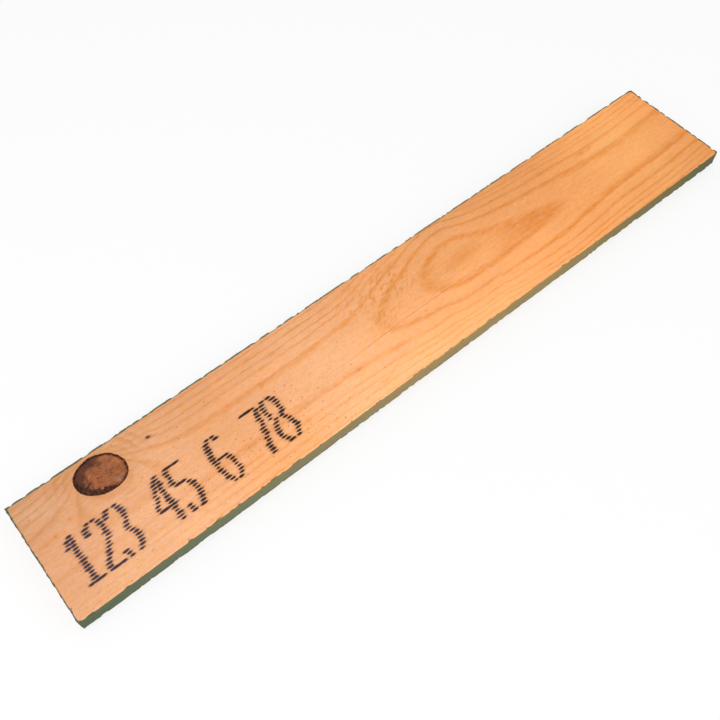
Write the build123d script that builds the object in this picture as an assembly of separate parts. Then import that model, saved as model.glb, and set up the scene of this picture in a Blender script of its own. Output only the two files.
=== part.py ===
# Sawn softwood plank with a black-ringed knot near one end and a drying check along its middle.
# Millimetres. +X runs along the length, +Y across the width and +Z up through the thickness.
# The origin is the centre of the underside, so the plank lies flat on Z = 0.
import os

from build123d import *

# The board as it is sawn and cut to length
plank_length = 600.0
plank_width = 95.0
plank_thickness = 15.0
arris_radius = 0.6  # easing of the four long edges
end_bevel = 0.3  # easing of the two cross-cut ends

# The knot, a dead branch that runs right through the board
knot_from_end = 60.7  # its centre on the upper face, from the end at -X
knot_from_edge = 19.0  # its centre, from the long edge at +Y
knot_length = 34.9  # along the grain, upper face
knot_width = 30.5  # across the grain, upper face
knot_lean = 3.0  # how far the branch has moved towards -X by the underside
knot_taper_share = 0.86  # underside size as a share of the upper face's

# The seam that the dead bark leaves round the knot, wide on one side and narrow on the other
seam_narrow = 0.6
seam_wide = 1.8
seam_wide_angle = 215.0  # degrees from +X, where the seam is at its widest
seam_depth = 0.8

# The drying check, a hairline split along the grain of the upper face
check_length = 137.0
check_width = 0.4  # at its middle, and it closes to nothing at both ends
check_depth = 2.5
check_from_end = 304.0  # its middle, from the end at -X
check_from_edge = 55.0  # its middle, from the long edge at +Y


def sawn_board():
    """The rectangular section with eased long edges, cut square at both ends."""
    near_end = Plane.YZ.offset(-plank_length / 2) * Pos(0, plank_thickness / 2)
    section = near_end * RectangleRounded(plank_width, plank_thickness, arris_radius)
    board = extrude(section, plank_length, dir=(1, 0, 0))
    end_faces = board.faces().filter_by(Axis.X)
    return chamfer(end_faces.edges(), end_bevel)


def knot_seam(size_share, lean, face_height, into_board):
    """One groove of the bark seam: the ring between the knot's outline and its off-centre heart."""
    half_length = knot_length * size_share / 2
    half_width = knot_width * size_share / 2
    seam_mean = (seam_wide + seam_narrow) / 2
    heart_shift = Vector(seam_narrow / 2 - seam_wide / 2, 0).rotate(Axis.Z, seam_wide_angle)
    outline = Ellipse(half_length, half_width)
    heart = Pos(heart_shift) * Ellipse(half_length - seam_mean, half_width - seam_mean)
    centre_x = knot_from_end - plank_length / 2 - lean
    centre_y = plank_width / 2 - knot_from_edge
    ring = Pos(centre_x, centre_y, face_height) * (outline - heart)
    return extrude(ring, seam_depth, dir=(0, 0, into_board))


def drying_check():
    """The split, a slender diamond in plan that goes straight down from the upper face."""
    outline = Polyline(
        (-check_length / 2, 0),
        (0, check_width / 2),
        (check_length / 2, 0),
        (0, -check_width / 2),
        close=True,
    )
    middle_x = check_from_end - plank_length / 2
    middle_y = plank_width / 2 - check_from_edge
    opening = Pos(middle_x, middle_y, plank_thickness) * make_face(outline)
    return extrude(opening, check_depth, dir=(0, 0, -1))


def plank():
    """The whole piece: the sawn board with the knot's seam in both faces and the check."""
    upper_seam = knot_seam(1, 0, plank_thickness, -1)
    under_seam = knot_seam(knot_taper_share, knot_lean, 0, 1)
    return sawn_board() - upper_seam - under_seam - drying_check()


os.makedirs("parts", exist_ok=True)
export_step(plank(), "parts/plank.step")
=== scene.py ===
import math

import bpy
import numpy as np
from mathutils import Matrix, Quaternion, Vector


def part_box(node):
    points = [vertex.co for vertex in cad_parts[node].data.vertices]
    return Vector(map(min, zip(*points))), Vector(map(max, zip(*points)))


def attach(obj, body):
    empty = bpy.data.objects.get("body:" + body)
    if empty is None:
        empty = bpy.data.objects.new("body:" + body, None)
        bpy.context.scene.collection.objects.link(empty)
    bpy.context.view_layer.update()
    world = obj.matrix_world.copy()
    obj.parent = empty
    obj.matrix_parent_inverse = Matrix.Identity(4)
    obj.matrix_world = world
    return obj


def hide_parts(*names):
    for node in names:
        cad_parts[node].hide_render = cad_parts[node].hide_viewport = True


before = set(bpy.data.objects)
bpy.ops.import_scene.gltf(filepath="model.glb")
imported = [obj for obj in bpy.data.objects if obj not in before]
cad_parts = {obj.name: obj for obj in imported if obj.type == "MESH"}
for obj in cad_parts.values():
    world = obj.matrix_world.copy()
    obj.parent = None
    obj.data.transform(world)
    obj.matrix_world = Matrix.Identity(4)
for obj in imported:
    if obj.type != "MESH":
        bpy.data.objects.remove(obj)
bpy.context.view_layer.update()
plankLow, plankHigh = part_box("plank")

mm = 0.001
halfLength = plankHigh.x / mm  # patterns are worked out in millimetres
halfWidth = plankHigh.y / mm
thickness = plankHigh.z / mm
outOfReach = 99  # further than any pen stroke is from the spot
tiny = 0.001  # keeps a division safe


def paint(*screen):  # a screen colour, each part 0 to 255, as the colour that a socket takes
    shares = [part / 255 for part in screen]
    return (*[s / 12.92 if s <= 0.04045 else ((s + 0.055) / 1.055) ** 2.4 for s in shares], 1)


class Value:
    # A socket in a node tree, so that what lies behind it is written as a sum
    def __init__(self, tree, socket=None):
        self.tree = tree
        self.socket = socket

    def node(self, kind, settings=None, sockets=None, out=0):
        made = self.tree.nodes.new(kind)
        for name, setting in (settings or {}).items():
            if name == "stops":
                setStops(made.color_ramp, setting)
            elif name == "points":
                setPoints(made.mapping, setting)
            else:
                setattr(made, name, setting)
        for name, given in (sockets or {}).items():
            if isinstance(given, Value):
                self.tree.links.new(given.socket, made.inputs[name])
            else:
                made.inputs[name].default_value = given
        return Value(self.tree, made.outputs[out])

    def other(self, out):  # another output of the same node
        return Value(self.tree, self.socket.node.outputs[out])

    def math(self, operation, *others):
        return self.node("ShaderNodeMath", {"operation": operation}, dict(enumerate((self, *others))))

    def after(self, operation, first):  # the reflected forms, with a plain number in front
        return self.node("ShaderNodeMath", {"operation": operation}, {0: first, 1: self})

    def __add__(self, other):
        return self.math("ADD", other)

    def __sub__(self, other):
        return self.math("SUBTRACT", other)

    def __mul__(self, other):
        return self.math("MULTIPLY", other)

    def __truediv__(self, other):
        return self.math("DIVIDE", other)

    def __gt__(self, other):
        return self.math("GREATER_THAN", other)

    def __radd__(self, other):
        return self.after("ADD", other)

    def __rsub__(self, other):
        return self.after("SUBTRACT", other)

    def __rmul__(self, other):
        return self.after("MULTIPLY", other)

    def __abs__(self):
        return self.math("ABSOLUTE")

    def most(self, other):
        return self.math("MAXIMUM", other)

    def least(self, other):
        return self.math("MINIMUM", other)

    def root(self):
        return self.math("SQRT")

    def hill(self):  # 1 at zero, falling away on both sides
        return (self * self * -1).math("EXPONENT")

    def liftTo(self, lowest):  # moves what lies from 0 to 1 into lowest to 1
        return self * (1 - lowest) + lowest

    def rise(self, start, end):  # 0 before start, 1 past end, with a soft bend at both
        return self.node("ShaderNodeMapRange", {"interpolation_type": "SMOOTHSTEP"},
                         {"Value": self, "From Min": start, "From Max": end})

    def follow(self, places, levels):  # reads a smooth line drawn through the levels at those places
        wide = places[-1] - places[0]
        base = min(levels)
        tall = max(levels) - base
        points = [((p - places[0]) / wide, (v - base) / tall) for p, v in zip(places, levels)]
        share = (self - places[0]) / wide
        return share.node("ShaderNodeFloatCurve", {"points": points}, {"Value": share}) * tall + base

    def mix(self, under, over, blend="MIX"):  # lays one colour over another, with this as the mask
        return self.node("ShaderNodeMix", {"data_type": "RGBA", "blend_type": blend},
                         {0: self, 6: under, 7: over}, out=2)

    def dim(self, amount):  # a colour or a vector times a number
        return self.node("ShaderNodeVectorMath", {"operation": "SCALE"}, {"Vector": self, "Scale": amount})


def setStops(ramp, stops):  # stops are (place, colour)
    while len(ramp.elements) < len(stops):
        ramp.elements.new(1)
    for element, (place, colour) in zip(ramp.elements, stops):
        element.position = place
        element.color = colour


def setPoints(mapping, points):
    line = mapping.curves[0].points
    while len(line) < len(points):
        line.new(1, 1)
    for spot, place in zip(line, points):
        spot.location = place
        spot.handle_type = "AUTO_CLAMPED"
    mapping.update()


def placeIn(metres):  # the spot on the plank, in millimetres, as a vector and as x, y and z
    at = metres.dim(1 / mm)
    x = at.node("ShaderNodeSeparateXYZ", {}, {"Vector": at})
    return {"at": at, "x": x, "y": x.other(1), "z": x.other(2)}


def vector(x, y, z):
    return x.node("ShaderNodeCombineXYZ", {}, {"X": x, "Y": y, "Z": z})


def turned(at, degrees):
    return at.node("ShaderNodeVectorRotate", {"rotation_type": "Z_AXIS"},
                   {"Vector": at, "Angle": math.radians(degrees)})


def mottle(at, size, detail, rough, shift):  # noise in spots so many millimetres long, wide and deep
    spot = at.node("ShaderNodeVectorMath", {"operation": "MULTIPLY_ADD"},
                   {0: at, 1: [1 / s for s in size], 2: (shift, shift, shift)})
    return at.node("ShaderNodeTexNoise", {},
                   {"Vector": spot, "Scale": 1, "Detail": detail, "Roughness": rough})


def sway(at, size, detail, rough, shift, amount):  # the noise swinging about zero
    return (mottle(at, size, detail, rough, shift) - 0.5) * amount


def patches(at, size, detail, rough, shift, low, high):  # the noise cut into patches with soft edges
    return mottle(at, size, detail, rough, shift).rise(low, high)


def distance(spot, centre, size):  # from a centre, in shares of its size, the same at all depths
    across = (spot["x"] - centre[0]) / size[0]
    up = (spot["y"] - centre[1]) / size[1]
    return (across * across + up * up).root()


def tallest(spot, places):  # the highest of some soft hills, each with a middle, a reach and a height
    top = 0
    for middle, reach, height in places:
        top = (distance(spot, middle, reach).hill() * height).most(top)
    return top


def band(spot, fades):  # 1 where every fade is full; a fade has an axis, its start and its end
    inside = 1
    for axis, start, end in fades:
        inside = inside * spot[axis].rise(start, end)
    return inside


def onUpperFace(spot, start=1.0, full=0.6):  # by the depth below the face, in millimetres
    return spot["z"].rise(thickness - start, thickness - full)


def toneAlong(spot, stops):
    along = (spot["x"] + halfLength) / (2 * halfLength)
    return along.node("ShaderNodeValToRGB", {"stops": stops}, {"Fac": along})


# In every dictionary a pattern is written as the size of its spots, detail, roughness and shift.
# A swinging one ends with its amount, and a patchy one with the two levels of its edge.

# The encased knot near one corner, a leaning cone through the board
knot = {
    "centre": (-239.3, 28.5),
    "halfSize": (17.45, 15.25),
    "lean": 3.0,
    "underShare": 0.86,
    "wobble": ((0.4, 0.4, 2), 1, 0.5, 0, 0.06),
    "dents": ((55, 0.04), (235, 0.07), (322, -0.11), (150, -0.05)),  # heading in degrees, share pressed in
    "dentPower": 4,
    "chewSize": (1.8, 1.8, 5),
    "chewRough": 0.6,
    "chewShift": 53,
    "chewed": 0.022,
    "rim": (1.012, 0.985),
    "wideSide": 226,  # degrees, where the bark is thickest
    "wideSpread": (0.2, 0.95),
    "barkShare": (0.07, 0.33),  # of the knot's radius, narrow side and wide side
    "barkEdge": (0.05, 0.03),
    "crumbSize": (2.2, 2.2, 4),
    "crumbRough": 0.65,
    "seamDepth": 0.8,
    "fineBark": (5, 3.0, 0.0),  # detail, how far it crumbles, share by which it starts further in
    "coarseBark": (1, 0.8, 0.03),  # the same for the groove, as the mesh is too coarse for crumbs
    "pull": 2.2,  # years by which the rings are drawn out along the branch
    "pullReach": 0.8,  # in knot radii
}


def heading(across, up, degrees):  # how far a unit direction points that way, from -1 to 1
    turn = math.radians(degrees)
    return across * math.cos(turn) + up * math.sin(turn)


def knotShape(spot, barkFinish):
    detail, crumble, inset = barkFinish
    rise = spot["z"] / thickness
    size = rise.liftTo(knot["underShare"])
    middle = rise * knot["lean"] + (knot["centre"][0] - knot["lean"])
    across = (spot["x"] - middle) / (size * knot["halfSize"][0])
    up = (spot["y"] - knot["centre"][1]) / (size * knot["halfSize"][1])
    away = (across * across + up * up).root().most(tiny)
    across = across / away
    up = up / away
    pressed = 1 + sway(vector(across, up, rise), *knot["wobble"])
    for degrees, share in knot["dents"]:
        pressed = pressed + heading(across, up, degrees).most(0).math("POWER", knot["dentPower"]) * share
    chewed = sway(spot["at"], knot["chewSize"], detail, knot["chewRough"], knot["chewShift"], crumble)
    reach = away * pressed + knot["chewed"] * chewed + inset
    towardsWide = heading(across, up, knot["wideSide"]).rise(*knot["wideSpread"])
    narrow, wide = knot["barkShare"]
    crumbs = 1 + sway(spot["at"], knot["crumbSize"], detail, knot["crumbRough"], 0, crumble)
    branch = 1 - (narrow + (wide - narrow) * towardsWide) * crumbs  # where bark gives way to branch wood
    before, past = knot["barkEdge"]
    inside = reach.rise(*knot["rim"])
    return {
        "reach": reach,
        "across": across,
        "up": up,
        "inside": inside,
        "bark": reach.rise(branch - before, branch + past) * inside,
    }


# The years' rings, round a growth axis that runs under the board
rings = {
    "places": (-300, -93, -52, -33, -12, 8, 22, 35, 50, 65, 77, 92, 107, 127, 151, 180, 214, 300),
    "sideways": (-1, -1, -1, -0.5, 1, 3, 4.5, 5.5, 6.8, 7.5, 5.5, 2.5, 0.5, -1.2, -2.2, -2.2, -2.5, 0),
    "depths": (50.3, 50.3, 49.8, 49.2, 46.9, 44.1, 42.8, 40.4, 38.3, 37.3, 37.9, 39.5, 40.5, 41.3, 42.3,
               43.8, 45, 45.4),
    "radii": (20, 37.2, 43.4, 49.3, 54.0, 57.8, 60.4, 63.9, 67.6, 80),
    "years": (-4, 0, 1, 2, 3, 4, 5, 6, 7, 10.5),
    "wave": ((70, 20, 20), 2, 0.5, 0, 1.3),
    "teeth": ((9, 2, 2), 3, 0.6, 7, 1.7),  # the rings' edges run in and out along the fibres
    "flatTeeth": 0.25,  # share of that where the saw ran along a ring
    "lateFrom": 0.32,  # share of a year at which the wood starts to darken
    "lateFull": 0.82,
    "lateEnd": 0.74,  # and from which it turns pale again
    "crisp": (0.35, 0.13),  # how much later start and end come where the saw cut straight through
    "broadPlace": ((70, 12), (75, 30)),  # middle and reach of the soft, broad bands
    "broader": (0.07, 0.035, 0.056),  # how much sooner start, full and end come there
    "weakest": 0.6,
    "yearShift": 40.5,  # keeps the draw for each year clear of zero
}
pinKnot = {
    "centre": (-200.5, 31.6),
    "size": (1.5, 1.05),
    "tail": (-199.2, 30.8),  # a reddish streak beside it
    "tailShare": 0.6,
    "shades": ((2.6, 0.9, 0.3), (1.15, 0.75, 0.68)),  # rim and core: start, full and share
    "pull": 0.7,
    "pullReach": 4.0,
    "depth": 0.45,
}


def yearRings(spot, shape):  # 1 in the dark late wood
    at = spot["at"]
    across = spot["y"] - spot["x"].follow(rings["places"], rings["sideways"])
    up = spot["z"] - thickness + spot["x"].follow(rings["places"], rings["depths"])
    radius = (across * across + up * up).root()
    steep = abs(across) / radius  # 0 where the saw ran along a ring, 1 where it cut straight through
    teeth = sway(at, *rings["teeth"]) * steep.liftTo(rings["flatTeeth"])
    years = (radius + sway(at, *rings["wave"]) + teeth).follow(rings["radii"], rings["years"])
    pulled = ((1 - shape["reach"].most(1)) / knot["pullReach"]).math("EXPONENT") * knot["pull"]
    pinAway = distance(spot, pinKnot["centre"], (pinKnot["pullReach"], pinKnot["pullReach"]))
    years = years - pulled - (pinAway * -1).math("EXPONENT") * pinKnot["pull"]
    part = years.math("FRACT")
    laterStart, laterEnd = rings["crisp"]
    soonerStart, soonerFull, soonerEnd = rings["broader"]
    broad = distance(spot, *rings["broadPlace"]).hill()
    start = rings["lateFrom"] + steep * laterStart - broad * soonerStart
    full = rings["lateFull"] - broad * soonerFull
    end = rings["lateEnd"] + steep * laterEnd - broad * soonerEnd
    draw = years.math("FLOOR") + rings["yearShift"]
    strength = draw.node("ShaderNodeTexWhiteNoise", {"noise_dimensions": "1D"}, {"W": draw})
    return part.rise(start, full) * part.rise(1.0, end) * strength.liftTo(rings["weakest"])


# The drying check, a hairline split that wanders along the upper face
check = {
    "places": (-65, -40, -22, -3, 22, 52, 72.5),
    "sideways": (-8.7, -8.2, -7.8, -7.2, -7.2, -7.4, -8.0),
    "kink": ((7, 50, 50), 3, 0.6, 3, 0.8),
    "halfGap": 0.16,
    "tips": (1.0, 0.7),  # it closes between these shares of its half length
    "heights": (10, 13),
    "depth": 0.45,
    # painted shade in the split: its line is darkened, broken along its length
    "dark": paint(150, 116, 86),
    "darkEdge": (1.9, 0.6),  # in half gaps
    "darkBreaks": ((10, 60, 60), 3, 0.6, 39, 0.3, 0.6),
    "darkLeast": 0.2,
    "darkShare": 0.36,
}


def checkOpening(spot):
    first, last = check["places"][0], check["places"][-1]
    line = spot["x"].follow(check["places"], check["sideways"])
    gap = abs(spot["y"] - line - sway(spot["at"], *check["kink"])) / check["halfGap"]
    along = abs(spot["x"] - (first + last) / 2) / ((last - first) / 2)
    return {"gap": gap, "open": along.rise(*check["tips"]) * spot["z"].rise(*check["heights"])}


# The board itself: a cube cut into small faces, eased along its edges
board = {
    "lengthCuts": (20, 20),
    "widthCuts": (64,),
    "heightCuts": (8,),
    "arris": 0.6,
    "arrisSteps": 3,
    "endBevel": 0.3,
    "knotZone": 22,  # radius that gets smaller faces
    "knotCuts": 2,
    "checkZone": 3.2,
    "checkShift": 0.9,  # the strip's middle, beside the check's first point
    "checkPast": 4,
    "checkCuts": 5,
    "straight": 0.9,  # share of a direction that has to lie along an axis
    "touching": 0.01,
}


def pickEdges(piece, test):  # opens edit mode with only the edges that pass, by their middle and direction
    bpy.ops.object.mode_set(mode="OBJECT")
    mesh = piece.data
    places = np.empty(len(mesh.vertices) * 3)
    mesh.vertices.foreach_get("co", places)
    ends = np.empty(len(mesh.edges) * 2, int)
    mesh.edges.foreach_get("vertices", ends)
    pairs = places.reshape(-1, 3)[ends.reshape(-1, 2)] / mm
    run = np.abs(pairs[:, 1] - pairs[:, 0])
    picked = test(pairs.mean(1), run / run.sum(1, keepdims=True))
    mesh.polygons.foreach_set("select", np.zeros(len(mesh.polygons), bool))
    mesh.vertices.foreach_set("select", np.zeros(len(mesh.vertices), bool))
    mesh.edges.foreach_set("select", picked)
    bpy.context.tool_settings.mesh_select_mode = (False, True, False)
    bpy.ops.object.mode_set(mode="EDIT")


def pickFaces(piece, test):  # the same for faces, by their middle and normal
    bpy.ops.object.mode_set(mode="OBJECT")
    mesh = piece.data
    middles = np.empty(len(mesh.polygons) * 3)
    normals = np.empty(len(mesh.polygons) * 3)
    mesh.polygons.foreach_get("center", middles)
    mesh.polygons.foreach_get("normal", normals)
    picked = test(middles.reshape(-1, 3) / mm, normals.reshape(-1, 3))
    mesh.vertices.foreach_set("select", np.zeros(len(mesh.vertices), bool))
    mesh.edges.foreach_set("select", np.zeros(len(mesh.edges), bool))
    mesh.polygons.foreach_set("select", picked)
    bpy.context.tool_settings.mesh_select_mode = (False, False, True)
    bpy.ops.object.mode_set(mode="EDIT")


def cutBoard():
    straight, touching = board["straight"], board["touching"]
    bpy.ops.object.select_all(action="DESELECT")
    bpy.ops.mesh.primitive_cube_add(size=1, location=(plankLow + plankHigh) / 2)
    piece = bpy.context.object
    piece.name = "sawnPlank"
    piece.scale = plankHigh - plankLow
    bpy.ops.object.transform_apply(location=True, rotation=True, scale=True)
    for axis, name in enumerate(("lengthCuts", "widthCuts", "heightCuts")):
        for parts in board[name]:
            pickEdges(piece, lambda middle, run: run[:, axis] > straight)
            bpy.ops.mesh.subdivide(number_cuts=parts - 1)

    def onArris(middle, run):
        atSide = np.abs(middle[:, 1]) > halfWidth - touching
        atFace = np.abs(middle[:, 2] - thickness / 2) > thickness / 2 - touching
        return atSide & atFace & (run[:, 0] > straight)

    pickEdges(piece, onArris)
    bpy.ops.mesh.bevel(offset=board["arris"] * mm, segments=board["arrisSteps"], affect="EDGES")
    pickFaces(piece, lambda middle, normal: np.abs(normal[:, 0]) > straight)
    bpy.ops.mesh.region_to_loop()
    bpy.ops.mesh.bevel(offset=board["endBevel"] * mm, segments=1, affect="EDGES")

    def nearKnot(middle, normal):
        away = np.hypot(middle[:, 0] - knot["centre"][0], middle[:, 1] - knot["centre"][1])
        return (away < board["knotZone"]) & (np.abs(normal[:, 2]) > straight)

    pickFaces(piece, nearKnot)
    bpy.ops.mesh.subdivide(number_cuts=board["knotCuts"], ngon=False)

    def acrossCheck(middle, run):
        beside = np.abs(middle[:, 1] - check["sideways"][0] - board["checkShift"]) < board["checkZone"]
        first = check["places"][0] - board["checkPast"]
        last = check["places"][-1] + board["checkPast"]
        along = (middle[:, 0] > first) & (middle[:, 0] < last)
        return beside & along & (middle[:, 2] > thickness - touching) & (run[:, 1] > straight)

    pickEdges(piece, acrossCheck)
    bpy.ops.mesh.subdivide(number_cuts=board["checkCuts"], ngon=False)
    bpy.ops.mesh.select_all(action="SELECT")
    bpy.ops.mesh.normals_make_consistent(inside=False)
    bpy.ops.object.mode_set(mode="OBJECT")
    print("board cut into", len(piece.data.polygons), "faces")
    return piece


# Where each side of the board lies on the bake's map: the upper face gets the most room
bakeMap = {"upper": 0.285, "under": 0.115, "edge": 0.03, "end": 0.03, "gap": 0.004}


def layBakeMap(piece):
    mesh = piece.data
    layer = mesh.uv_layers.new(name="OFBake")
    places = np.empty(len(mesh.vertices) * 3)
    mesh.vertices.foreach_get("co", places)
    corners = np.empty(len(mesh.loops), int)
    mesh.loops.foreach_get("vertex_index", corners)
    spots = places.reshape(-1, 3)[corners] / mm
    normals = np.empty(len(mesh.polygons) * 3)
    middles = np.empty(len(mesh.polygons) * 3)
    counts = np.empty(len(mesh.polygons), int)
    mesh.polygons.foreach_get("normal", normals)
    mesh.polygons.foreach_get("center", middles)
    mesh.polygons.foreach_get("loop_total", counts)
    normal = np.repeat(normals.reshape(-1, 3), counts, axis=0)
    middle = np.repeat(middles.reshape(-1, 3), counts, axis=0)
    facing = np.abs(normal).argmax(1)
    outward = np.take_along_axis(normal, facing[:, None], 1)[:, 0] > 0
    farHalf = middle[:, 0] > 0
    along = (spots[:, 0] + halfLength) / halfLength - farHalf
    across = (spots[:, 1] + halfWidth) / (2 * halfWidth)
    height = spots[:, 2] / thickness
    gap = bakeMap["gap"]
    u = gap + (1 - 2 * gap) * along
    v = np.zeros(len(u))
    base = gap
    strips = (("upper", 2, True, across), ("under", 2, False, across), ("edge", 1, True, height),
              ("edge", 1, False, height))
    for name, axis, out, share in strips:
        for half in (False, True):
            here = (facing == axis) & (outward == out) & (farHalf == half)
            v[here] = base + share[here] * bakeMap[name]
            base += bakeMap[name] + gap
    for half in (False, True):  # the two ends lie side by side
        here = (facing == 0) & (outward == half)
        u[here] = gap + (across[here] + half) * (0.5 - gap)
        v[here] = base + height[here] * bakeMap["end"]
    layer.uv.foreach_set("vector", np.column_stack((u, v)).astype(np.float32).ravel())


# How deep the surface sinks below the sawn box, in millimetres
relief = {
    "grain": 0.09,
    "fibre": 0.06,
    "fibres": ((14, 2.6, 2.6), 3, 0.6, 0),
    "sawMark": 0.12,
    "sawMarks": ((3.5, 60, 60), 1, 0.5, 11),
    "unmarked": (1.2, 0.7),  # depths below the upper face, which has no saw marks
    "knotDish": 0.12,
    "knotRough": 0.22,
    "knotLumps": ((2.2, 2.2, 6), 3, 0.6, 5),
    "chip": 0.9,
    "chips": ((7, 5, 5), 3, 0.65, 23, 0.5, 0.6),
    "chipReach": 2.0,
    "edgeWave": 0.9,
    "edgeWaves": ((6, 6, 3), 3, 0.65, 31),
    "edgeLevel": 0.36,  # only what rises above this sinks the edge
    "edgeReach": (1.4, 0.6),
    "core": 3.0,  # the surface sinks towards a box this far inside the sawn one
    "smoothAngle": 38,
}


def edgeDistances(spot):  # how far the spot is from the outline seen from above, and from the nearer face
    fromSide = halfWidth - abs(spot["y"])
    fromEnd = halfLength - abs(spot["x"])
    fromFace = thickness / 2 - abs(spot["z"] - thickness / 2)
    return fromSide.least(fromEnd), fromFace


def sinkOf(spot):
    at = spot["at"]
    shape = knotShape(spot, knot["coarseBark"])
    opening = checkOpening(spot)
    fromOutline, fromFace = edgeDistances(spot)
    sink = (1 - yearRings(spot, shape)) * (1 - shape["inside"]) * relief["grain"]
    sink = sink + mottle(at, *relief["fibres"]) * relief["fibre"]
    sawn = 1 - onUpperFace(spot, *relief["unmarked"])
    sink = sink + mottle(at, *relief["sawMarks"]) * sawn * relief["sawMark"]
    knotted = mottle(at, *relief["knotLumps"]) * relief["knotRough"] + relief["knotDish"]
    sink = sink + shape["inside"] * knotted + shape["bark"] * (knot["seamDepth"] - relief["knotDish"])
    sink = sink + distance(spot, pinKnot["centre"], pinKnot["size"]).hill() * pinKnot["depth"]
    sink = sink + opening["gap"].hill() * opening["open"] * check["depth"]
    arris = fromOutline.most(fromFace).rise(relief["chipReach"], 0)
    sink = sink + arris * patches(at, *relief["chips"]) * relief["chip"]
    ragged = (mottle(at, *relief["edgeWaves"]) - relief["edgeLevel"]).most(0) * relief["edgeWave"]
    return sink + fromOutline.rise(*relief["edgeReach"]) * ragged


def sinkSurface(piece):
    tree = bpy.data.node_groups.new("plankRelief", "GeometryNodeTree")
    for direction in ("INPUT", "OUTPUT"):
        tree.interface.new_socket("Geometry", in_out=direction, socket_type="NodeSocketGeometry")
    start = Value(tree)
    place = start.node("GeometryNodeInputPosition")
    margin = Vector((1, 1, 1)) * relief["core"] * mm
    inside = place.node("ShaderNodeVectorMath", {"operation": "MINIMUM"}, {0: place, 1: plankHigh - margin})
    inside = place.node("ShaderNodeVectorMath", {"operation": "MAXIMUM"}, {0: inside, 1: plankLow + margin})
    inward = place.node("ShaderNodeVectorMath", {"operation": "SUBTRACT"}, {0: inside, 1: place})
    inward = place.node("ShaderNodeVectorMath", {"operation": "NORMALIZE"}, {0: inward})
    offset = inward.dim(sinkOf(placeIn(place)) * mm)
    given = start.node("NodeGroupInput")
    moved = start.node("GeometryNodeSetPosition", {}, {"Geometry": given, "Offset": offset})
    end = tree.nodes.new("NodeGroupOutput")
    tree.links.new(moved.socket, end.inputs[0])
    modifier = piece.modifiers.new("relief", "NODES")
    modifier.node_group = tree
    bpy.context.view_layer.objects.active = piece
    bpy.ops.object.modifier_apply(modifier=modifier.name)
    bpy.ops.object.shade_smooth_by_angle(angle=math.radians(relief["smoothAngle"]))
    print("relief sunk into", len(piece.data.vertices), "points")


# Plain numbers from an ink-jet head: rows of short dashes, each row one nozzle of the head
ink = {
    "topRow": 4.0,
    "pitch": 2.4,
    "halfDash": 2.05,
    "halfThick": 0.84,
    "wide": 1.12,
    "rowSlack": 0.1,
    "slip": (3.7, 12, 1, 0.5),  # step from row to row, run along a row, detail, roughness
    "slipBy": 4.5,
    "spurt": (5.3, 9, 2, 0.6),  # the same, so that no two dashes are alike
    "spurtBy": 1.5,
    "spurtLeast": 0.3,
    "bleed": ((2.0, 0.6, 9), 3, 0.65, 2, 3.0),
    "dashEdge": (1.8, 0.4),
    "runPlace": (-215, -260),  # the first numbers have run more
    "runBy": 0.2,
    "soakEdge": (4.5, 1),
    "digits": ((1, -285), (2, -269.5), (3, -254.5), (4, -224.5), (5, -208), (6, -178), (7, -146),
               (8, -131)),
    "dark": paint(22, 13, 22),
    "faded": paint(48, 40, 58),
    "fadedPlace": (-250, -180),
    "share": 0.97,
    "soak": paint(140, 96, 78),
    "soakShare": 0.26,
    # line: from (across, row) to (across, row); bar: from across to across, on a row;
    # bow: centre, swing, middle row, half its rows, first and last row inked, side
    "strokes": {
        1: (("bar", 1.5, 12.5, 15), ("line", 7, 0, 7, 15), ("line", 5, 1, 3, 3)),
        2: (("bow", 7, 5, 4, 4.4, 0, 6, 1), ("bow", 7, 5, 4, 4.4, 0, 3, -1), ("line", 11, 7, 2.4, 14),
            ("bar", 1, 13, 15)),
        3: (("bow", 6.5, 5.2, 3.6, 4.2, 0, 7, 1), ("bow", 6.5, 5.6, 11.4, 4.2, 8, 15, 1),
            ("bow", 6.5, 5.2, 3.6, 4.2, 0, 2, -1), ("bow", 6.5, 5.6, 11.4, 4.2, 13, 15, -1)),
        4: (("line", 10, 0, 10, 15), ("line", 8.4, 1, 1.6, 9), ("bar", 0, 13.5, 10)),
        5: (("bar", 1.5, 12.5, 0), ("line", 2, 1, 2, 5), ("bar", 1.5, 9.5, 6),
            ("bow", 6.5, 5.7, 10.6, 5, 7, 15, 1), ("bow", 6.5, 5.2, 10.6, 5, 13, 15, -1)),
        6: (("bow", 7.5, 6, 7.5, 8, 0, 15, -1), ("bow", 7.2, 5, 11, 4.4, 7, 15, 1),
            ("bow", 7.5, 6, 7.5, 8, 0, 1, 1), ("bar", 3.5, 9.5, 7)),
        7: (("bar", 0.5, 13, 0), ("line", 12, 1, 4.6, 15)),
        8: (("bow", 7, 4.8, 3.6, 4.2, 0, 7, 0), ("bow", 7, 5.5, 11.4, 4.2, 8, 15, 0)),
    },
}


def offRows(row, row0, row1):  # out of reach on a row that the stroke doesn't cross
    return (abs(row - (row0 + row1) / 2) > (row1 - row0) / 2 + ink["rowSlack"]) * outOfReach


def lineGap(across, row, across0, row0, across1, row1):
    slope = (across1 - across0) / (row1 - row0)
    middle = row * slope + (across0 - row0 * slope)
    return abs(across - middle) + offRows(row, row0, row1)


def barGap(across, row, across0, across1, barRow):
    past = abs(across - (across0 + across1) / 2) - ((across1 - across0) / 2 - ink["halfDash"])
    return past.most(0) + offRows(row, barRow, barRow)


def bowGap(across, row, centre, swing, middleRow, halfRows, row0, row1, side):
    turn = (row - middleRow) / halfRows
    bulge = (1 - turn * turn).most(0).root() * swing
    out = across - centre
    out = abs(out) if side == 0 else out * side
    return abs(out - bulge) + offRows(row, row0, row1)


def rowNoise(spot, row, step, run, detail, rough):  # differs from row to row and drifts along each
    return mottle(vector(row * step, spot["x"] / run, 0), (1, 1, 1), detail, rough, 0)


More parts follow.
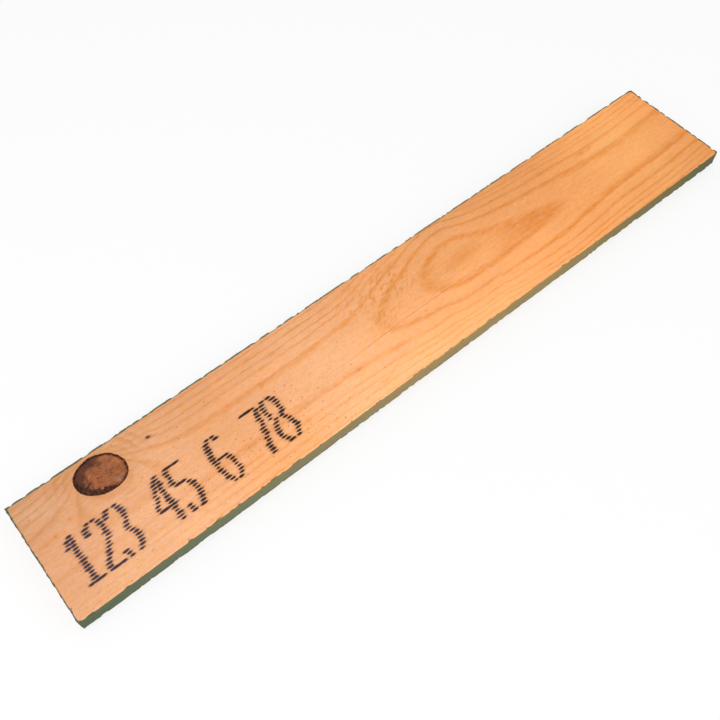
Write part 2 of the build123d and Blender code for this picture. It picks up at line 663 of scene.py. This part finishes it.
def inkMask(spot):
    gapTo = {"line": lineGap, "bar": barGap, "bow": bowGap}
    row = ((ink["topRow"] - spot["y"]) / ink["pitch"]).math("ROUND")
    offRow = spot["y"] - (ink["topRow"] - row * ink["pitch"])
    slip = (rowNoise(spot, row, *ink["slip"]) - 0.5) * ink["slipBy"]
    nearest = outOfReach
    for digit, left in ink["digits"]:
        across = (spot["x"] + slip - left) / ink["wide"]
        for kind, *numbers in ink["strokes"][digit]:
            nearest = gapTo[kind](across, row, *numbers).least(nearest)
    spurt = rowNoise(spot, row, *ink["spurt"]) * ink["spurtBy"] + ink["spurtLeast"]
    along = nearest * (ink["wide"] / ink["halfDash"]) / spurt
    over = offRow / (spurt * ink["halfThick"])
    wet = along * along + over * over + sway(spot["at"], *ink["bleed"])
    onUpper = onUpperFace(spot)
    edge, full = ink["dashEdge"]
    soft = spot["x"].rise(*ink["runPlace"]) * ink["runBy"] + edge
    return wet.rise(soft, full) * onUpper, wet.rise(*ink["soakEdge"]) * onUpper


# Bare sawn wood by where it lies along the plank, and all that marks it
wood = {
    # tone along the plank: partly the wood's own, partly painted light, dimmer and paler at the left end
    # than in the middle
    "tones": ((0.0, paint(226, 166, 128)), (0.15, paint(241, 179, 137)), (0.25, paint(245, 176, 127)),
              (0.37, paint(255, 187, 140)), (0.55, paint(253, 179, 121)), (0.78, paint(246, 168, 106)),
              (0.92, paint(255, 179, 113)), (1.0, paint(249, 169, 104))),
    # paler clouds: middle, reach, strength, colour
    "clouds": (
        ((-25, -41), (95, 11), 0.3, paint(255, 194, 132)),
        ((-65, 0), (30, 26), 0.35, paint(255, 194, 146)),
        ((-284, 32), (15, 9), 0.5, paint(240, 190, 155)),
        ((-260, -42), (42, 9), 0.45, paint(243, 188, 146)),
        ((240, 18), (28, 13), 0.75, paint(255, 186, 116)),
        ((-128, -40), (28, 8), 0.5, paint(250, 172, 106)),
        ((72, 38), (22, 9), 0.45, paint(250, 184, 136)),
        ((-205, 30), (12, 16), 0.3, paint(252, 190, 148)),
    ),
    "cloudStreaks": ((45, 7, 7), 2, 0.5, 4, 0.3, 0.6),
    "cloudLeast": 0.4,
    # late wood, and where it is quieter: fades and share, then middle, reach and share
    "lateTint": paint(240, 219, 187),
    "lateBreaks": ((13, 3, 3), 3, 0.65, 13, 0.3, 0.62),
    "lateLeast": 0.4,
    "lateDrift": ((95, 14, 14), 2, 0.5, 17, 0.9),
    "quietBands": (
        ((("x", -150, -215),), 0.15),
        ((("x", -150, -225), ("y", -8, -24)), 0.5),
        ((("y", -12, -24), ("x", -160, -110), ("x", 120, 85)), 0.2),
        ((("x", 80, 160),), -0.3),  # bolder rings
        ((("x", 80, 160), ("y", 6, 20)), 0.35),
    ),
    "quietSpots": (((-239, 0), (34, 15), 0.5), ((-14, 2), (16, 12), 0.5), ((24, 4), (9, 12), 0.5)),
    # the oval of late wood that the saw just reached: middle and reach
    "island": ((67, 8), (19, 7)),
    "islandGrain": ((12, 2.5, 3), 3, 0.6, 35, 0.8),
    "islandShare": 0.55,
    # orange resin in the late wood: middle and reach
    "resin": (
        ((-118, 14.5), (2.4, 2.2)), ((-146, 16), (4, 1.6)), ((-73, 15.5), (5, 2)),
        ((-41, 17), (5, 3)), ((-57, -18.8), (3.4, 1.4)), ((-78, -19), (3.2, 1.1)),
        ((-110, -28), (6, 2)), ((-48, -38), (6, 1.5)), ((-112, 38), (7, 1.6)),
        ((-97, 30.5), (5, 1.4)), ((-26, -22), (7, 2.5)), ((14, 35), (6, 3)),
        ((-20, 41), (8, 2.5)), ((27, 2), (4, 7)), ((212, 23), (6, 2)),
        ((-284, 9), (7, 2)), ((-270, 13), (3, 1.2)), ((156, -3), (9, 4)),
    ),
    "resinShare": 0.65,
    "resinTint": paint(255, 243, 189),
    "resinFlecks": ((7, 1.9, 1.9), 4, 0.65, 15, 0.46, 0.66),
    "resinInLate": (0.5, 0.7),  # share anywhere, and added in late wood
    "resinDots": ((3.2, 1.8, 1.8), 3, 0.65, 16, 0.48, 0.68),
    "resinDotShare": 0.8,
    "fleck": paint(240, 148, 70),
    "frayed": ((5, 1.4, 1.4), 4, 0.65, 49, 0.3, 0.62),
    # short brown marks: middle and reach
    "marks": (
        ((71, -8.6), (2.2, 0.55)), ((121, 33.2), (0.8, 1.8)), ((212, 23.4), (2.8, 1.2)),
        ((221, 22.8), (3, 0.8)), ((141.5, 12), (1.2, 0.7)), ((-57, -19), (2.4, 0.9)),
        ((-291, 8), (2.6, 1)), ((-283, 9.5), (2, 1)), ((-270, 14), (1.5, 0.9)),
        ((-196, 30), (2, 1)), ((-230, 5.2), (5, 0.45)), ((12, -11.6), (1.6, 0.5)),
    ),
    "markShare": (0.15, 0.5),  # everywhere, and added where it is frayed
    "mark": paint(214, 134, 72),
    # grain that the saw tore out: middle, reach and strength
    "tornPlaces": (((0, 24), (36, 16), 1), ((-14, 3), (16, 10), 0.8)),
    "tornTurn": -36,
    "tornGrain": ((5.5, 2, 4), 4, 0.6, 19, 0.48, 0.6),
    "tornShare": 0.8,
    "torn": paint(234, 143, 58),
    "splinters": ((3, 1.4, 3), 3, 0.6, 20, 0.58, 0.68),
    "splinterShare": 0.45,
    "splinter": paint(255, 206, 166),
    # fibres that turn round the knot: middle, reach and strength
    "swirlPlaces": (((-212, 38), (10, 11), 0.55), ((-263, 41), (14, 8), 0.55),
                    ((-247, 45.5), (15, 3.5), 0.55)),
    "swirlArcs": 2.7,  # arcs in one knot radius
    "swirlWave": ((9, 9, 9), 3, 0.5, 0),
    "swirlBend": 0.6,
    "swirlEdge": (0.2, 0.85),
    "swirlLeast": 0.2,
    "swirl": paint(212, 140, 80),
    "haloFade": 5,
    "haloShare": 0.4,
    # painted light: paler towards the near edge, a gradient that turns the other way towards the right end
    "paintedLightAcross": 0.14,
    "paintedLightTurn": (110, 270),
    "paintedLightBack": 1.6,
    # broad tint, clouds, fibres and fuzz
    "swings": (
        ((130, 34, 34), 2, 0.5, 8, 0.2),
        ((30, 9, 9), 3, 0.6, 9, 0.14),
        ((30, 1.6, 1.6), 4, 0.65, 6, 0.2),
        ((3.6, 1.3, 1.3), 3, 0.7, 37, 0.3),
    ),
    "endGrain": paint(226, 198, 168),
    "endDepth": (0.9, 0.5),
    "endLeast": 0.4,
    # pale dried drops
    "drops": ((-25.5, -19.2), (-9.3, -9.3), (133.5, 19.2), (144, 18.2)),
    "dropSize": (0.9, 0.8),
    "dropShare": 0.45,
    "drop": paint(255, 216, 182),
}


def woodColour(spot, shape, ringLate):
    at, x, y = (spot[name] for name in ("at", "x", "y"))
    colour = toneAlong(spot, wood["tones"])
    streaky = patches(at, *wood["cloudStreaks"]).liftTo(wood["cloudLeast"])
    for middle, size, share, tone in wood["clouds"]:
        colour = (distance(spot, middle, size).hill() * streaky * share).mix(colour, tone)
    # Late wood, broken up along the fibres
    quiet = 0
    for fades, share in wood["quietBands"]:
        quiet = quiet + band(spot, fades) * share
    for middle, size, share in wood["quietSpots"]:
        quiet = quiet + distance(spot, middle, size).hill() * share
    broken = patches(at, *wood["lateBreaks"]).liftTo(wood["lateLeast"])
    late = ringLate * broken * (1 + sway(at, *wood["lateDrift"])) * (1 - quiet).most(0)
    colour = late.mix(colour, wood["lateTint"], "MULTIPLY")
    island = distance(spot, *wood["island"]).hill() * (1 + sway(at, *wood["islandGrain"]))
    colour = (island * wood["islandShare"]).mix(colour, wood["fleck"])
    # Resin in the fibres, which makes the wood more orange but hardly darker
    anywhere, inLate = wood["resinInLate"]
    fleck = patches(at, *wood["resinFlecks"]) * (late * inLate + anywhere)
    dots = patches(at, *wood["resinDots"]) * wood["resinDotShare"]
    colour = fleck.most(dots).mix(colour, wood["resinTint"], "MULTIPLY")
    frayed = patches(at, *wood["frayed"])
    resinous = frayed * wood["resinShare"]
    for middle, size in wood["resin"]:
        colour = (distance(spot, middle, size).hill() * resinous).mix(colour, wood["fleck"])
    anywhere, inFrayed = wood["markShare"]
    marked = (frayed * inFrayed + anywhere) * onUpperFace(spot)
    for middle, size in wood["marks"]:
        colour = (distance(spot, middle, size).hill() * marked).mix(colour, wood["mark"])
    # Torn grain lies aslant
    slanted = turned(at, wood["tornTurn"])
    rough = tallest(spot, wood["tornPlaces"])
    torn = rough * patches(slanted, *wood["tornGrain"])
    colour = (torn * wood["tornShare"]).mix(colour, wood["torn"])
    splinter = rough * patches(slanted, *wood["splinters"])
    colour = (splinter * wood["splinterShare"]).mix(colour, wood["splinter"])
    bent = mottle(at, *wood["swirlWave"]) * wood["swirlBend"]
    arcs = (shape["reach"] * wood["swirlArcs"] + bent).math("FRACT").rise(*wood["swirlEdge"])
    swirl = tallest(spot, wood["swirlPlaces"]) * arcs.liftTo(wood["swirlLeast"])
    colour = swirl.mix(colour, wood["swirl"])
    # painted light across the plank, paler on the near side, times the wood's random tone swings
    shade = y / -halfWidth * (1 - x.rise(*wood["paintedLightTurn"]) * wood["paintedLightBack"]) * wood["paintedLightAcross"] + 1
    for swing in wood["swings"]:
        shade = shade * (1 + sway(at, *swing))
    return colour.dim(shade)


# The branch wood and the bark of the knot
heart = {
    "brown": paint(161, 95, 58),
    "dark": paint(93, 53, 38),
    "pith": (-241.7, 27.2),
    "pithSize": 0.9,
    "pithDark": 0.45,
    "ringGap": 2.1,
    "ringWave": ((5, 5, 20), 3, 0.5, 0),
    "ringBend": 2,
    "ringDark": 0.12,
    "ringReach": 9,
    "darkSide": 128,  # degrees
    "darkSpread": (0.05, 0.5),
    "darkFray": ((3.5, 3.5, 20), 4, 0.6, 0, 0.9),
    "darkEdge": (0.38, 0.66),  # in knot radii
    "wedge": ((-235, 36), (5, 4)),
    "wedgeFray": ((3, 3, 9), 3, 0.6, 51, 0.3, 0.6),
    "wedgeShare": 0.9,
    "cracked": ((-232.5, 26), (7, 6)),
    "crackTurn": 24,
    "cracks": ((6, 0.9, 6), 3, 0.6, 61, 0.54, 0.64),
    "crackShare": 0.75,
    # middle, reach and strength
    "palePlaces": (((-232.5, 38), (3.2, 2.2), 0.8), ((-227, 31), (5, 5), 0.4)),
    "pale": paint(180, 112, 70),
    "scuffPlaces": (((-234.5, 29.8), (1.6, 2.6), 0.8), ((-231.5, 18.5), (6.5, 2.4), 0.8)),
    "scuffs": ((1.2, 1.2, 4), 3, 0.6, 9, 0.42, 0.6),
    "scuff": paint(146, 114, 96),
    "swings": (((4, 4, 8), 4, 0.7, 25, 1.5), ((1.5, 1.5, 6), 3, 0.7, 0, 0.9)),  # blotches and fine grain
    "barkBlack": paint(40, 25, 22),
    "barkBrown": paint(98, 58, 41),
    "barkCrumbs": ((1.5, 1.5, 4), 3, 0.65, 45, 0.42, 0.66),
    "barkShare": 0.96,
}


def heartColour(spot, shape):
    at = spot["at"]
    fromPith = distance(spot, heart["pith"], (1, 1))
    bent = fromPith + mottle(at, *heart["ringWave"]) * heart["ringBend"]
    ringed = (bent * (2 * math.pi / heart["ringGap"])).math("SINE") * heart["ringDark"]
    ringed = ringed * (fromPith / heart["ringReach"]).hill()
    shade = 1 + (ringed - (fromPith / heart["pithSize"]).hill() * heart["pithDark"])
    for swing in heart["swings"]:
        shade = shade * (1 + sway(at, *swing))
    darkSide = heading(shape["across"], shape["up"], heart["darkSide"]).rise(*heart["darkSpread"])
    dark = darkSide * (shape["reach"] + sway(at, *heart["darkFray"])).rise(*heart["darkEdge"])
    wedge = distance(spot, *heart["wedge"]).hill() * patches(at, *heart["wedgeFray"])
    crackGrain = patches(turned(at, heart["crackTurn"]), *heart["cracks"])
    cracks = distance(spot, *heart["cracked"]).hill() * crackGrain
    dark = dark.most(wedge * heart["wedgeShare"]).most(cracks * heart["crackShare"])
    colour = dark.mix(heart["brown"], heart["dark"])
    colour = tallest(spot, heart["palePlaces"]).mix(colour, heart["pale"])
    scuffed = tallest(spot, heart["scuffPlaces"]) * patches(at, *heart["scuffs"])
    return scuffed.mix(colour, heart["scuff"]).dim(shade)


# Fine overspray beside the numbers
overspray = {
    "grids": ((4.2, 0.55), (2.3, 0.3)),  # spacing and largest radius
    "starts": (-222, -185),
    "startLeast": 0.4,
    "ends": (-38, -83),
    "lower": (22, -8),  # thicker towards the near edge
    "lowerLeast": 0.2,
    "clusters": ((16, 11, 11), 2, 0.6, 57, 0.32, 0.58),
    "blur": ((0.9, 0.9, 9), 2, 0.5, 0, 0.9),
    "draws": (0.35, 1.0),
    "soft": 0.12,
    "smallest": 0.02,
    "faintest": 0.4,
    "share": 0.6,
    "speck": paint(112, 84, 66),
}


def specks(spot):
    x, y = spot["x"], spot["y"]
    where = x.rise(*overspray["starts"]).liftTo(overspray["startLeast"]) * x.rise(*overspray["ends"])
    where = where * y.rise(*overspray["lower"]).liftTo(overspray["lowerLeast"])
    where = where * patches(spot["at"], *overspray["clusters"])
    blur = sway(spot["at"], *overspray["blur"])
    flat = vector(x + blur, y - blur, 0)
    soft = overspray["soft"]
    found = 0
    for cell, largest in overspray["grids"]:
        dots = flat.node("ShaderNodeTexVoronoi", {"voronoi_dimensions": "2D"},
                         {"Vector": flat, "Scale": 1 / cell})
        draw = dots.node("ShaderNodeSeparateColor", {}, {"Color": dots.other(1)})
        size = draw.rise(*overspray["draws"]) * largest
        dot = (dots * cell - size).rise(soft, -soft) * (size > overspray["smallest"])
        dot = dot * (where > draw.other(1)) * draw.other(2).liftTo(overspray["faintest"])
        found = dot.most(found)
    return found * onUpperFace(spot)


# The dull, dark green of the sawn edges and ends, which reaches a little round the corners; its darkness is
# partly painted shade, as the sides face away from the light
edgeGreenAndShade = {
    "tones": ((0.0, paint(66, 98, 76)), (0.2, paint(105, 120, 92)), (0.45, paint(158, 139, 95)),
              (0.7, paint(152, 136, 91)), (0.85, paint(122, 118, 78)), (1.0, paint(76, 95, 67))),
    "share": 0.94,
    "creep": ((5, 5, 5), 4, 0.65, 27, 2.2),
    "creepMean": 1.2,
    "nearSide": (-40, -44),
    "nearEnds": (1, 5),
    "nearBack": 1.7,  # it creeps less on the near side
    "farSide": (40, 46),
    "farOn": 0.5,
    "farTurn": (-150, 200),
    "farBack": 0.3,
    "ends": ((292, 298, 0.5), (-292, -298, -0.05)),  # start, full and how much more it creeps
    "faceEdge": (0.3, -0.2),
    "topEdge": (0.35, 0.8),
    "nearTop": 0.25,
    "edgeReach": (2.6, 1.6),
    "lowest": (2.4, 0.6),
    "lowBreaks": ((6, 6, 3), 3, 0.6, 55, 0.35, 0.6),
    # a darker green on the far side's arris and towards the bottom of the edges
    "rimShare": 0.8,
    "rim": paint(74, 98, 76),
    "swings": (((38, 38, 1.4), 4, 0.65, 21, 0.3), ((22, 22, 6), 3, 0.6, 33, 0.3)),  # streaks and blotches
    "lateShade": 0.15,
    # the green lies less evenly on the sawn ends
    "bareBreaks": ((9, 12, 7), 3, 0.6, 47, 0.3, 0.6),
    "bareShare": (0.55, 0.3),
    "bareEnd": (1.6, 0.9),
    "bareFace": (0.4, 1.4),
    "bareSide": (2, 5),
}


# Mask and colour of the edges' dark green, which is partly painted shade of the sides
def edgeGreenAndShadeLayer(spot, late):
    at, x, y = (spot[name] for name in ("at", "x", "y"))
    fromOutline, fromFace = edgeDistances(spot)
    fromEnd = halfLength - abs(x)
    farSide = y.rise(*edgeGreenAndShade["farSide"])
    nearSide = y.rise(*edgeGreenAndShade["nearSide"]) * fromEnd.rise(*edgeGreenAndShade["nearEnds"])
    creep = sway(at, *edgeGreenAndShade["creep"]) + edgeGreenAndShade["creepMean"] - nearSide * edgeGreenAndShade["nearBack"]
    creep = creep + farSide * (edgeGreenAndShade["farOn"] - x.rise(*edgeGreenAndShade["farTurn"]) * edgeGreenAndShade["farBack"])
    for start, full, more in edgeGreenAndShade["ends"]:
        creep = creep + x.rise(start, full) * more
    pastCreep = fromOutline - creep
    onFace = pastCreep.rise(*edgeGreenAndShade["faceEdge"])
    fromTop = thickness - spot["z"] - nearSide * edgeGreenAndShade["nearTop"]
    onEdge = fromTop.rise(*edgeGreenAndShade["topEdge"]) * pastCreep.rise(*edgeGreenAndShade["edgeReach"])
    low = spot["z"].rise(*edgeGreenAndShade["lowest"]) * patches(at, *edgeGreenAndShade["lowBreaks"])
    colour = (farSide.most(low) * edgeGreenAndShade["rimShare"]).mix(toneAlong(spot, edgeGreenAndShade["tones"]), edgeGreenAndShade["rim"])
    shade = 1 - late * edgeGreenAndShade["lateShade"]
    for swing in edgeGreenAndShade["swings"]:
        shade = shade * (1 + sway(at, *swing))
    least, more = edgeGreenAndShade["bareShare"]
    bare = patches(at, *edgeGreenAndShade["bareBreaks"]) * more + least
    bare = bare * fromEnd.rise(*edgeGreenAndShade["bareEnd"]) * fromFace.rise(*edgeGreenAndShade["bareFace"])
    bare = bare * (halfWidth - abs(y)).rise(*edgeGreenAndShade["bareSide"])
    return onFace.most(onEdge) * (1 - bare), colour.dim(shade)


# Gloss and the finest grain
finish = {
    "specular": 0.14,
    "rough": 0.7,
    "lateRough": -0.1,
    "barkRough": 0.15,
    "edgeGreenRough": 0.12,
    "inkRough": -0.1,
    "fibres": ((9, 0.45, 0.45), 4, 0.7, 41),
    "fibreHeight": 0.5,
    "lateHeight": 0.35,
    "knotGrain": ((1, 1, 3), 3, 0.7, 43),
    "bump": 0.25,
    "bumpHeight": 0.3,
}


def plankMaterial():
    material = bpy.data.materials.new("sawnSoftwood")
    material.use_nodes = True
    tree = material.node_tree
    shader = tree.nodes["Principled BSDF"]
    shader.inputs["Specular IOR Level"].default_value = finish["specular"]
    spot = placeIn(Value(tree).node("ShaderNodeTexCoord", out="Object"))
    at, x = spot["at"], spot["x"]
    onUpper = onUpperFace(spot)
    shape = knotShape(spot, knot["fineBark"])
    late = yearRings(spot, shape)
    colour = woodColour(spot, shape, late)
    endGrain = (halfLength - abs(x)).rise(*wood["endDepth"]) * late.liftTo(wood["endLeast"])
    colour = endGrain.mix(colour, wood["endGrain"], "MULTIPLY")
    # The knot in its bark, and the pin knot
    halo = ((1 - shape["reach"].most(1)) * wood["haloFade"]).math("EXPONENT") * wood["haloShare"]
    colour = halo.mix(colour, wood["swirl"])
    colour = shape["inside"].mix(colour, heartColour(spot, shape))
    bark = patches(at, *heart["barkCrumbs"]).mix(heart["barkBlack"], heart["barkBrown"])
    colour = (shape["bark"] * heart["barkShare"]).mix(colour, bark)
    tail = distance(spot, pinKnot["tail"], pinKnot["size"]).hill() * pinKnot["tailShare"] * onUpper
    colour = tail.mix(colour, heart["brown"])
    pinAway = distance(spot, pinKnot["centre"], pinKnot["size"])
    pin = 0
    for start, full, share in pinKnot["shades"]:
        pin = pin + pinAway.rise(start, full) * share
    colour = pin.mix(colour, heart["dark"])
    # What came later: the check, darkened by painted shade in its gap, overspray, drops, ink, and the
    # edges' dark green, which is partly painted shade
    opening = checkOpening(spot)
    # painted shade: the split's line is darkened where its gap would lie in shade
    split = opening["gap"].rise(*check["darkEdge"]) * opening["open"] * check["darkShare"]
    split = split * patches(at, *check["darkBreaks"]).liftTo(check["darkLeast"])
    colour = split.mix(colour, check["dark"])
    colour = (specks(spot) * overspray["share"]).mix(colour, overspray["speck"])
    for place in wood["drops"]:
        drop = distance(spot, place, wood["dropSize"]).hill() * onUpper
        colour = (drop * wood["dropShare"]).mix(colour, wood["drop"])
    inked, soaked = inkMask(spot)
    colour = (soaked * ink["soakShare"]).mix(colour, ink["soak"])
    inkTone = x.rise(*ink["fadedPlace"]).mix(ink["faded"], ink["dark"])
    colour = (inked * ink["share"]).mix(colour, inkTone)
    # the edges' dark green, partly painted shade of the sides
    greenAndShaded, edgeGreenShadeTone = edgeGreenAndShadeLayer(spot, late)
    colour = (greenAndShaded * edgeGreenAndShade["share"]).mix(colour, edgeGreenShadeTone)
    tree.links.new(colour.socket, shader.inputs["Base Color"])
    rough = finish["rough"] + late * finish["lateRough"] + shape["bark"] * finish["barkRough"]
    rough = rough + greenAndShaded * finish["edgeGreenRough"] + inked * finish["inkRough"]
    tree.links.new(rough.socket, shader.inputs["Roughness"])
    fine = mottle(at, *finish["fibres"]) * finish["fibreHeight"] + late * finish["lateHeight"]
    fine = fine + mottle(at, *finish["knotGrain"]) * shape["inside"]
    height = finish["bumpHeight"] * mm
    bump = fine.node("ShaderNodeBump", {}, {"Strength": finish["bump"], "Distance": height, "Height": fine})
    tree.links.new(bump.socket, shader.inputs["Normal"])
    return material


def makePlank():
    piece = cutBoard()
    layBakeMap(piece)
    sinkSurface(piece)
    piece.data.materials.append(plankMaterial())
    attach(piece, "root")
    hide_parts("plank")
    print("plank finished")


# A white floor that keeps a faint shadow, under soft light
stage = {
    "floorSize": 12.0,
    "floorDrop": 0.1,
    "floorWhite": 0.99,
    "shadowShare": 0.3,
    "worldLevel": 0.6,
    # name, place, size and power
    "lamps": (("key", (-0.9, -0.35, 1.5), 1.5, 14), ("fill", (0.9, -1.1, 1.2), 1.6, 4.7)),
}


def seenAsBackground(tree):  # 1 for what the camera sees straight on, in a mirror or through glass
    path = Value(tree).node("ShaderNodeLightPath", out="Is Camera Ray")
    return path.most(path.other("Is Glossy Ray")).most(path.other("Is Transmission Ray"))


def setStage():
    bpy.ops.object.select_all(action="DESELECT")
    bpy.ops.mesh.primitive_plane_add(size=stage["floorSize"], location=(0, 0, -stage["floorDrop"] * mm))
    floor = bpy.context.object
    floor.name = "floor"
    material = bpy.data.materials.new("paleFloor")
    material.use_nodes = True
    tree = material.node_tree
    matt = tree.nodes["Principled BSDF"]
    white = stage["floorWhite"]
    matt.inputs["Base Color"].default_value = (white, white, white, 1)
    matt.inputs["Roughness"].default_value = 1
    matt.inputs["Specular IOR Level"].default_value = 0
    lit = seenAsBackground(tree) * (1 - stage["shadowShare"])
    glow = lit.node("ShaderNodeEmission", {}, {"Color": (1, 1, 1, 1), "Strength": 1})
    both = lit.node("ShaderNodeMixShader", {}, {0: lit, 2: glow})
    tree.links.new(matt.outputs[0], both.socket.node.inputs[1])
    tree.links.new(both.socket, tree.nodes["Material Output"].inputs["Surface"])
    floor.data.materials.append(material)

    world = bpy.data.worlds.new("softRoom")
    bpy.context.scene.world = world
    world.use_nodes = True
    level = seenAsBackground(world.node_tree).liftTo(stage["worldLevel"])
    sky = world.node_tree.nodes["Background"]
    sky.inputs["Color"].default_value = (1, 1, 1, 1)
    world.node_tree.links.new(level.socket, sky.inputs["Strength"])

    for name, place, size, power in stage["lamps"]:
        turn = (-Vector(place)).to_track_quat("-Z", "Y").to_euler()
        bpy.ops.object.light_add(type="AREA", location=place, rotation=turn)
        lamp = bpy.context.object
        lamp.name = name
        lamp.data.size = size
        lamp.data.energy = power
    bpy.context.scene.view_settings.view_transform = "Standard"
    print("stage set")


# The photographer's place, found from the plank's outline
camera = {
    "eye": (-245.77, -258.72, 544.77),
    "target": (-51.86, -13.39, 15.0),
    "roll": -1.19,
    "lens": 43.43,
    "sensor": 36.0,
    "nearest": 0.01,
}


def setCamera():
    eye = Vector(camera["eye"]) * mm
    looking = (Vector(camera["target"]) * mm - eye).to_track_quat("-Z", "Y")
    looking = looking @ Quaternion((0, 0, 1), math.radians(camera["roll"]))
    bpy.ops.object.camera_add(location=eye, rotation=looking.to_euler())
    viewer = bpy.context.object
    viewer.data.lens = camera["lens"]
    viewer.data.sensor_width = camera["sensor"]
    viewer.data.clip_start = camera["nearest"]
    bpy.context.scene.camera = viewer
    print("camera set")


makePlank()
setStage()
setCamera()
